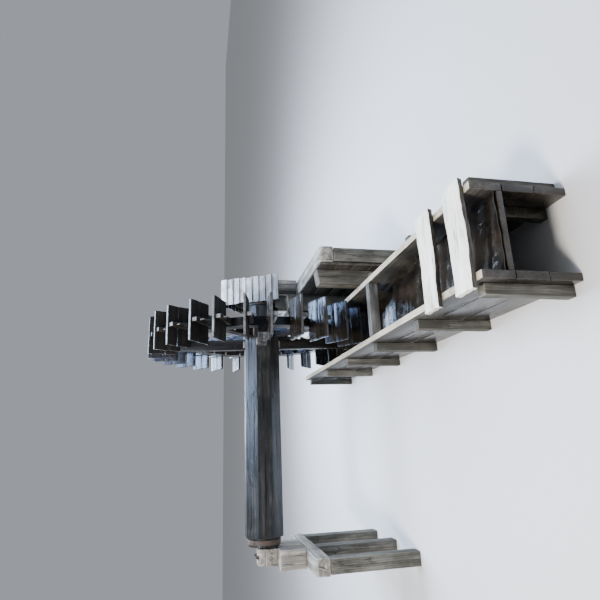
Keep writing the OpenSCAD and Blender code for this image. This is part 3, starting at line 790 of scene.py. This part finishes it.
def makePeg(length, top, shape):
    peg = roundPeg("peg", length=length, **shape)
    peg.data.transform(move(0, top, 0) @ standUp)
    return peg


keyValues = {"length": 0.112, "height": 0.024, "thinEnd": 0.014, "thick": 0.016, "seat": 0.9447,
             "worn": {"edge": 0.002, "steps": (2, 0), "ragged": (0.002, 0.001)}}


def makeKey(length, height, thinEnd, thick, seat, worn):
    # drawn through the tenon inside the rim
    key = sawnBoard("key", (length, height, thick), 5, **worn)
    thinner = 1 - thinEnd / height
    for v in key.data.vertices:  # the side away from the rim tapers
        fromSeat = height / 2 - v.co.y
        v.co.y = height / 2 - fromSeat * (1 - thinner * (v.co.x / length + 0.5))
    key.data.transform(move(0, 0, seat - height / 2) @ standUp)
    return giveGrain(key, "X", 8)


def underShadeSide(c, n):  # painted shade goes on these: the sides of the boards that carry the starts, on the half over the race
    return c.y < 0 and n.y * (c.z - axleZ) - n.z * c.y < -0.5 * math.hypot(c.y, c.z - axleZ)


paddleWood = (wood["paddle"], wood["paddleEdge"], wood["paddleLitRim"])
startWood = (wood["start"], wood["paddleEdge"], wood["startPaleLitTip"])
paddleKinds = [makePaddle(number, **paddleValues) for number in range(len(paddleValues["splits"]))]
startKind = makeStart(**startValues)
pegKinds = [makePeg(length, pegValues["top"], pegValues["shape"]) for length in pegValues["lengths"]]
keyKind = makeKey(**keyValues)
slide, aside, keySlide = (grainValues[name] for name in ("copySlide", "copyAside", "keySlide"))
count = 0
for q in quarters:
    copies = looseCopies(f"starts_{q}")
    angles = sorted(angleOf(meanOf([v.co for v in piece.data.vertices])) for piece in copies)
    remove(*copies)
    boardsHere, startsHere, nailsHere, pegsHere = [], [], [], []
    for angle in angles:
        dice = random.Random(count)
        place = radialTurn(angle)
        boards, nails = paddleKinds[count * 3 % len(paddleKinds)]
        for board in boards:
            shift = (dice.uniform(-slide, slide), dice.uniform(-aside, aside), 0)
            boardsHere.append(copyPiece(board, place, shift))
        startsHere.append(copyPiece(startKind, place, (dice.uniform(-slide, slide), 0, 0)))
        nailsHere += [copyPiece(nail, place) for nail in nails]
        bothSunk = (0.0, dice.uniform(*pegValues["sunk"]))  # the outer peg is driven through
        for peg, height, sunk in zip(pegKinds, pegValues["heights"], bothSunk):
            lean = turn(dice.uniform(-pegValues["lean"], pegValues["lean"]), "Z")
            pegsHere.append(copyPiece(peg, place @ move(0, -sunk, height) @ lean))
        pegsHere.append(copyPiece(keyKind, place, (dice.uniform(-keySlide, keySlide), 0, 0)))
        count += 1
    boards = finishPiece(join(boardsHere, f"paddle_boards_{q}"), paddleWood, "wheel",
                         f"paddles_{q}")
    # painted shade on the board sides over the race
    paintFaces(boards, wood["underside"], underShadeSide)
    finishPiece(join(startsHere, f"start_timbers_{q}"), startWood, "wheel", f"starts_{q}")
    finishPiece(join(nailsHere, f"paddle_nails_{q}"), iron, "wheel")
    finishPiece(join(pegsHere, f"pegs_and_keys_{q}"), wood["peg"], "wheel")
for boards, nails in paddleKinds:
    remove(*boards, *nails)
remove(startKind, *pegKinds, keyKind)
print("paddles and starts stand on the rim")


# rim, arms and shaft

crackRoom = 0.01  # how far outside a timber the middle of its crack may lie


def wornNode(node, body, name, finish, slotName, along, edge, loops, dent, seed, cracks=()):
    # the CAD solids again: grain and length on an axis, worn edges, sides that wander where there are loops
    pieces = looseCopies(node)
    pieces.sort(key=lambda piece: tuple(round(c, 3) for c in middleOf(piece)))
    for i, piece in enumerate(pieces):
        if loops:
            sliceAlong(piece, "XYZ".find(along), loops)
        softenEdges(piece, edge)
        if dent:
            roughen(piece, dent, dentSizes["timber"])
        here = [crack for crack in cracks if nearBox(piece, crack[0], crackRoom)]
        if here:
            cutCracks(piece, here)
        giveGrain(piece, along, seed * 31 + i)
    return finishPiece(join(pieces, name), finish, body, node)


def wetAndShadedFace(c, n):  # painted shade, with wet from spray, on the faces of a wheel timber that don't look along the axle
    return abs(n.x) < 0.5


wheelWood = (wood["wheel"], wood["wheelEdge"])
wheelWear = {  # worn edge, room between loops, dents
    "felloe": (0.005, 0, 0.001), "arm": (0.006, 0, 0.0015), "shaft": (0.007, 0.16, 0.004),
    "gudgeon": (0.0025, 0, 0),
}
for q in quarters:
    middle = middleOf(cad[f"felloe_{q}"])
    tangent = Vector((0, -(middle.z - axleZ), middle.y))
    felloe = wornNode(f"felloe_{q}", "wheel", f"rim_felloe_{q}", wheelWood, "wheel_timber", tangent,
                      *wheelWear["felloe"], q)
    # painted shade, with wet from spray, on the felloe's faces
    paintFaces(felloe, wood["sprayed"], wetAndShadedFace)

tipRoom = {"depth": 0.004, "width": 0.2}  # how far apart the corners of an arm's tip may lie
armAngles = []
for q in quarters:
    corners = [v.co for v in cad[f"arm_{q}"].data.vertices]
    reach = max(math.hypot(c.y, c.z - axleZ) for c in corners)
    ends = [c for c in corners if math.hypot(c.y, c.z - axleZ) > reach - tipRoom["depth"]]
    upper = max(ends, key=lambda c: c.z + 0.001 * c.y)
    tip = meanOf([c for c in ends if (c - upper).length < tipRoom["width"]])
    armAngles.append((angleOf(tip), 1 if middleOf(cad[f"arm_{q}"]).x > 0 else -1))
    arm = wornNode(f"arm_{q}", "wheel", f"compass_arm_{q}", wheelWood, "wheel_timber",
                   Vector((0, tip.y, tip.z - axleZ)), *wheelWear["arm"], 9 + q)
    # painted shade, with wet from spray, on the arm's faces
    paintFaces(arm, wood["sprayed"], wetAndShadedFace)

wedgeValues = {"width": 0.092, "thick": 0.016, "low": 0.185, "high": 0.250, "side": 0.052, "layer": 0.070,
               "aside": 0.012, "driven": (-0.012, 0.004), "slide": 3,
               "worn": {"edge": 0.002, "steps": (3, 2), "ragged": (0.003, 0.003), "dent": 0.001}}


def makeWedges(width, thick, low, high, side, layer, aside, driven, slide, worn):
    # two at each place where an arm goes into the shaft
    kind = sawnBoard("wedge", (width, high - low, thick), 3, **worn)
    kind.data.transform(standUp)
    giveGrain(kind, "Z", 4)
    made = []
    for angle, armSide in armAngles:
        for turned in (angle, angle + 180):
            for way in (-1, 1):
                dice = random.Random(int(turned * 7) + way)
                place = (armSide * layer + dice.uniform(-aside, aside), way * (side + thick / 2),
                         (low + high) / 2 + dice.uniform(*driven))
                shift = (dice.uniform(-slide, slide), 0, 0)
                made.append(copyPiece(kind, radialTurn(turned) @ move(*place), shift))
    remove(kind)
    return made


finishPiece(join(makeWedges(**wedgeValues), "arm_wedges"), wood["peg"], "wheel")

shaftValues = {
    "overFlats": 0.44, "depth": 0.04, "aside": 0.055,
    "cracks": (  # flat (0 looks upstream, 2 up), middle along X, length and width
        (0, -1.75, 0.95, 0.010), (0, -0.75, 0.7, 0.008), (1, -2.05, 0.6, 0.009), (1, -1.1, 1.0, 0.011),
        (1, 0.33, 0.2, 0.006), (2, -1.5, 1.2, 0.012), (3, -1.8, 0.8, 0.009), (4, -1.2, 0.9, 0.010),
        (5, -0.9, 0.8, 0.008), (6, -1.6, 1.1, 0.010), (7, -1.3, 0.8, 0.009), (7, -0.5, 0.45, 0.007)),
}


def shaftCracks(overFlats, depth, aside, cracks):
    dice = random.Random(12)
    made = []
    for flat, x, length, width in cracks:
        out = turn(90 - flat * 45, "X") @ Vector((0, 0, 1))
        across = out.cross(Vector((1, 0, 0)))
        place = Vector((x, 0, axleZ)) + out * (overFlats / 2) + across * dice.uniform(-aside, aside)
        made.append((place, (1, 0, 0), out, length, width, depth))
    return made


wornNode("shaft", "wheel", "octagonal_shaft", (wood["shaft"], wood["shaftEdge"]), "shaft_timber", "X",
         *wheelWear["shaft"], 3, shaftCracks(**shaftValues))
for end in bearingEnds:
    wornNode(f"gudgeon_{end}", "wheel", f"winged_gudgeon_{end}", iron, "iron", "X", *wheelWear["gudgeon"], 1)

hoopValues = {"inner": 0.1903, "outer": 0.1983, "width": 0.055, "edge": 0.002, "lap": (0.051, 0.07, 0.005),
              "lapEdge": 0.0015, "lapAngle": 38, "lapLift": 0.001, "rivetRadius": 0.008, "rivetSide": 0.018,
              "rivetLift": 0.003}


def makeHoop(x, inner, outer, width, edge, lap, lapEdge, lapAngle, lapLift, rivetRadius, rivetSide,
             rivetLift):
    bpy.ops.mesh.primitive_cylinder_add(vertices=72, radius=outer, depth=width, end_fill_type="NOTHING",
                                        location=(x, 0, axleZ), rotation=(0, math.radians(90), 0))
    hoop = justAdded("hoop")
    apply(hoop, "SOLIDIFY", thickness=outer - inner, offset=-1)
    softenEdges(hoop, edge, angle=60)
    lap = sawnBoard("lap", lap, 2, lapEdge, (0, 3))
    for v in lap.data.vertices:
        v.co.z += math.sqrt(outer ** 2 - v.co.y ** 2) + lapLift
    rivets = nailHeads([(0, y, outer + rivetLift) for y in (-rivetSide, rivetSide)], (0, 0, 1), rivetRadius)
    for piece in (lap, *rivets):
        piece.data.transform(move(x, 0, axleZ) @ turn(lapAngle, "X"))
    return [hoop, lap, *rivets]


half = hoopValues["width"] / 2
low, high = (corner.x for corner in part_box("hoops"))
hoops = makeHoop(low + half, **hoopValues) + makeHoop(high - half, **hoopValues)
finishPiece(join(hoops, "shrunk_hoops"), iron, "wheel", "hoops")
print("rim, arms, shaft and irons are done")


# bearings, piers, sills and bank wall

frameWood = (wood["frame"], wood["frameEdge"])
postWood = (wood["post"], wood["postEdge"])
# the outboard pier carries a painted shadow of the wheel on its wheel side
pierWood = {"outboard": (wood["splashedAndShadowed"], wood["frameEdge"]), "inboard": frameWood}
frameWear = {  # new name, axis of grain and length, worn edge, room between loops, dents, seed
    "bearing_block": ("bearing_seat", "Y", 0.006, 0, 0.001, 21),
    "bearing_cap": ("bearing_lid", "Y", 0.006, 0, 0.001, 22),
    "pier": ("bearing_pier", "Z", 0.012, 0.06, 0.004, 31),
    "sill_beam": ("sill_timber", "Y", 0.016, 0.09, 0.005, 33),
    "sill_posts": ("sill_legs", "Z", 0.009, 0.09, 0.004, 34),
}


def wornFrame(part, end, finish, cracks=()):
    name, *wear = frameWear[part]
    wornNode(f"{part}_{end}", "mill_frame", f"{name}_{end}", finish, "frame_timber", *wear, cracks)


boltValues = {  # nut and stem by radius, height, sides and worn edge
    "aside": 0.078, "lift": 0.0018, "washer": (0.05, 0.05, 0.005), "washerEdge": 0.0012,
    "nut": (0.018, 0.016, 4, 0.0015), "stem": (0.008, 0.028, 10, 0.0012),
}


def makeBolts(node, aside, lift, washer, washerEdge, nut, stem):
    # washer, square nut and stem, twice on the middle line of a bearing cap
    low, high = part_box(node)
    kinds = (sawnBoard("washer", washer, 2, washerEdge), roundPeg("nut", *nut), roundPeg("stem", *stem))
    places = [move((low.x + high.x) / 2, y, high.z + lift) for y in (-aside, aside)]
    made = [copyPiece(kind, place) for place in places for kind in kinds]
    remove(*kinds)
    return made


for end in bearingEnds:
    wornFrame("bearing_block", end, frameWood)
    wornFrame("bearing_cap", end, frameWood)
    bolts = makeBolts(f"bearing_cap_{end}", **boltValues)
    finishPiece(join(bolts, f"cap_bolts_{end}"), iron, "mill_frame")

crackRows = {  # each row ends with the crack's length, width and depth
    "pier": ((0.07, -0.09, 0.2, 0.008, 0.05), (0.15, 0.12, 0.22, 0.008, 0.05)),
    "sill": ((0.07, 0.3, 0.7, 0.010, 0.05), (0.12, 0.75, 0.5, 0.008, 0.04)),
    "sillEnd": (0.12, 0.006, 0.05),
    "bank_posts": ((0.08, -0.30, 0.3, 0.007, 0.04),),
    "bank_boards": (),
}


def uprightCracks(node, rows):
    # in the upstream side, by their room to its left edge and their height over the foot or under the top
    low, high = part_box(node)
    upwards, out = (0, 0, 1), (0, -1, 0)
    return [((low.x + aside, low.y + 0.001, (low.z if up > 0 else high.z) + up), upwards, out, *size)
            for aside, up, *size in rows]


def beamCracks(node, rows):
    # on the top, by their room to its left edge and their share of its length, and one in the upstream end
    low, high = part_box(node)
    made = [((low.x + aside, low.y * (1 - share) + high.y * share, high.z), (0, 1, 0), (0, 0, 1), *size)
            for aside, share, *size in rows]
    middle = ((low.x + high.x) / 2, low.y, (low.z + high.z) / 2)
    return [*made, (middle, (0.5, 0, 1), (0, -1, 0), *crackRows["sillEnd"])]


for end in bearingEnds:
    wornFrame("pier", end, pierWood[end], uprightCracks(f"pier_{end}", crackRows["pier"]))
    wornFrame("sill_beam", end, frameWood, beamCracks(f"sill_beam_{end}", crackRows["sill"]))
    wornFrame("sill_posts", end, postWood)

bankWood = (wood["bank"], wood["bankEdge"])
bankWear = {  # new name, finish and slot, then as in frameWear
    "bank_posts": ("bank_wall_posts", postWood, "frame_timber", "Z", 0.009, 0.09, 0.004, 35),
    "bank_boards": ("bank_wall_boards", bankWood, "bank_boards", "Y", 0.004, 0.12, 0.005, 36),
}
for node, row in bankWear.items():
    wornNode(node, "mill_frame", *row, uprightCracks(node, crackRows[node]))
print("bearings, piers, sills and bank wall are done")


# race

raceWood = (wood["race"], wood["raceEdge"])
beamWood = (wood["beam"], wood["raceEdge"])
raceWear = {  # as in bankWear
    "race_wall_right": ("race_planks_right", raceWood, "race_timber", "Y", 0.005, 0.11, 0.004, 41),
    "race_wall_left": ("race_planks_left", raceWood, "race_timber", "Y", 0.005, 0.11, 0.004, 41),
    "race_stakes": ("race_stakes_worn", postWood, "race_timber", "Z", 0.006, 0.08, 0.004, 42),
    "race_floor": ("race_floor_boards", raceWood, "race_timber", "Y", 0.004, 0, 0.002, 43),
    "race_apron": ("race_apron_boards", raceWood, "race_timber", "Y", 0.004, 0, 0.002, 44),
    "pit_floor": ("pit_floor_boards", raceWood, "race_timber", "Y", 0.004, 0, 0.002, 45),
    "head_joists": ("head_joists_worn", raceWood, "race_timber", "X", 0.005, 0, 0.002, 46),
    "pit_joists": ("pit_joists_worn", raceWood, "race_timber", "X", 0.005, 0, 0.002, 47),
    "cross_beam": ("cross_beam_worn", beamWood, "sawn_plank", "X", 0.007, 0.07, 0.003, 48),
}
racePieces = {node: wornNode(node, "mill_frame", *row) for node, row in raceWear.items()}
for node in ("race_wall_right", "race_wall_left"):
    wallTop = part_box(node)[1].z
    paintFaces(racePieces[node], wood["raceTop"], lambda c, n: n.z > 0.7 and c.z > wallTop - 0.02)

coverValues = {
    "wane": 0.034, "slant": 0.020, "flat": 0.3, "mean": 0.5, "outerSide": 0.4,
    "worn": {"edge": 0.003, "steps": (34, 5), "ragged": (0.010, 0.004), "dent": 0.0025},
    "waves": ((0.30, 7, 2.1, 1), (0.10, 17, 1, 0), (0.04, 43, 3, 0)),  # height, turns, shifts by side, plank
}


def makeCover(plank, number, wane, slant, flat, mean, outerSide, worn, waves):
    # a plank in the place of the CAD's, with bark on its long edges
    low, high = (Vector(corner) for corner in boxOf(plank))
    size = high - low
    board = sawnBoard("cover", tuple(size), 60 + number, **worn)
    for v in board.data.vertices:  # the edges follow the log's own outline and lean in under the bark
        x, side = v.co.x, math.copysign(1, v.co.y)
        share = max(0.0, abs(v.co.y) / (size.y / 2) - flat) / (1 - flat)
        wave = mean + sum(height * math.sin(turns * x + bySide * side + byPlank * number)
                          for height, turns, bySide, byPlank in waves)
        lean = 0.5 - v.co.z / size.z if side < 0 else (0.5 + v.co.z / size.z) * outerSide
        v.co.y -= side * share * (wane * wave + slant * max(0.0, lean))
    board.data.transform(move(*((low + high) / 2)))
    giveGrain(board, "X", 70 + number)
    for face in board.data.polygons:
        face.material_index = int(abs(face.normal.y) > 0.5)
    return board


planks = looseCopies("cover_planks")
covers = [makeCover(plank, number, **coverValues) for number, plank in enumerate(planks)]
remove(*planks)
finishPiece(join(covers, "cover_boards"), (wood["plank"], wood["plankBark"]), "mill_frame",
            "cover_planks")
print("race is done")


# cap roof

roofValues = {
    "left": 0.463, "right": 0.827, "ridge": (0.020, 2.166), "butt": 0.024, "head": 0.010, "lap": 0.022,
    "gap": 0.0008, "short": 0.016, "cup": (-0.001, 0.0004), "lean": 0.5,
    "worn": {"edge": 0.0025, "steps": (12, 2), "ragged": (0.006, 0.004), "dent": 0.002},
    "nailSide": 0.045, "nailButt": 0.03, "nailAside": 0.01, "nailSunk": 0.001, "nailRadius": 0.005,
}
slopeValues = {
    "upstream": {"eave": (-0.33537, 1.440), "turned": 0, "courses": 9, "seed": 5},
    "downstream": {"eave": (0.620, 1.730), "turned": 180, "courses": 8, "seed": 6},
}


def makeSlope(eave, turned, courses, seed, left, right, ridge, butt, head, lap, gap, short, cup, lean, worn,
              nailSide, nailButt, nailAside, nailSunk, nailRadius):
    # lapped boards from the eave up to the ridge
    run, rise = abs(ridge[0] - eave[0]), ridge[1] - eave[1]
    step = math.hypot(run, rise) / courses
    tilt = math.atan2(butt - head, step)
    width = right - left
    thick = butt - head - gap
    onSlope = (move((left + right) / 2, *eave) @ turn(turned, "Z")
               @ Matrix.Rotation(math.atan2(rise, run), 4, "X"))
    dice = random.Random(seed)
    boards, nails = [], []
    for i in range(courses):
        deep = step + (0.0 if i == courses - 1 else lap)
        shorter = dice.uniform(0, short)
        slid = dice.uniform(-0.5, 0.5) * shorter
        size = (width - shorter, deep, thick)
        board = sawnBoard("course", size, seed * 10 + i, cup=dice.uniform(*cup), **worn)
        # the lower edge lies on the board below, the upper edge on the rafters
        height = (butt + head) / 2 - math.tan(tilt) * deep / 2
        place = (onSlope @ move(slid, i * step + deep / 2, height) @ Matrix.Rotation(-tilt, 4, "X")
                 @ turn(dice.uniform(-lean, lean), "Z"))
        board.data.transform(place)
        giveGrain(board, "X", seed * 100 + i)
        boards.append(board)
        for x in (-width / 2 + nailSide, width / 2 - nailSide):
            spot = (x + dice.uniform(-nailAside, nailAside), -deep / 2 + nailButt, thick / 2 - nailSunk)
            nails += nailHeads([place @ Vector(spot)], place.to_3x3() @ Vector((0, 0, 1)), nailRadius)
    return boards, nails


for side, values in slopeValues.items():
    boards, nails = makeSlope(**values, **roofValues)
    # the worn edges of the boards get painted shadow lines
    slope = finishPiece(join(boards, f"roof_boards_{side}"), (wood["roof"], wood["roofButtShade"]), "mill_frame",
                        f"roof_{side}")
    # painted shade on the faces that look down
    paintFaces(slope, wood["roofShade"], lambda c, n: n.z < -0.2)
    finishPiece(join(nails, f"roof_boards_{side}_nails"), iron, "mill_frame")
# the rafters get painted shade all over
roofShadeWood = (wood["roofShade"], wood["bankEdge"])
roofWear = {  # as in bankWear
    "rafters": ("rafter_pairs", roofShadeWood, "frame_timber", "Y", 0.004, 0, 0.001, 51),
    "roof_posts": ("roof_stub_posts", frameWood, "frame_timber", "Z", 0.004, 0, 0.001, 52),
    "gable_board": ("gable_boards", frameWood, "frame_timber", "Z", 0.003, 0, 0.001, 53),
}
roofPieces = {node: wornNode(node, "mill_frame", *row) for node, row in roofWear.items()}
# painted shade on the gable board's inner face
paintFaces(roofPieces["gable_board"], wood["roofShade"], lambda c, n: n.x < -0.5)
print("cap roof is done")


# water

waterValues = {
    "left": -0.3095, "right": 0.2495, "start": -3.74, "end": 1.44, "cells": (14, 130), "skin": 0.004,
    "bedY": (-3.750, -1.715, -0.430), "bedZ": (0.540, 0.415, 0.140),  # where the race's bed breaks
    "film": 0.022, "level": 0.190, "swells": ((0.004, 9, 27), (0.003, 41, -17)),
}


def makeWater(left, right, start, end, cells, skin, bedY, bedZ, film, level, swells):
    # a film over the bed, and a level where it stands; each swell: height, turns across and along the race
    bpy.ops.mesh.primitive_grid_add(x_subdivisions=cells[0], y_subdivisions=cells[1], size=1)
    sheet = bpy.context.object
    sheet.name = "race_water"
    sheet.scale = (right - left, end - start, 1)
    sheet.location = ((left + right) / 2, (start + end) / 2, 0)
    settle(sheet)
    for v in sheet.data.vertices:
        bed = float(np.interp(v.co.y, bedY, bedZ))
        swell = sum(height * math.sin(across * v.co.x + along * v.co.y) for height, across, along in swells)
        v.co.z = max(bed + film, level) + swell
    apply(sheet, "SOLIDIFY", thickness=skin, offset=-1)
    return sheet


finishPiece(makeWater(**waterValues), water, "mill_frame", smooth=60)
print("water lies in the race")
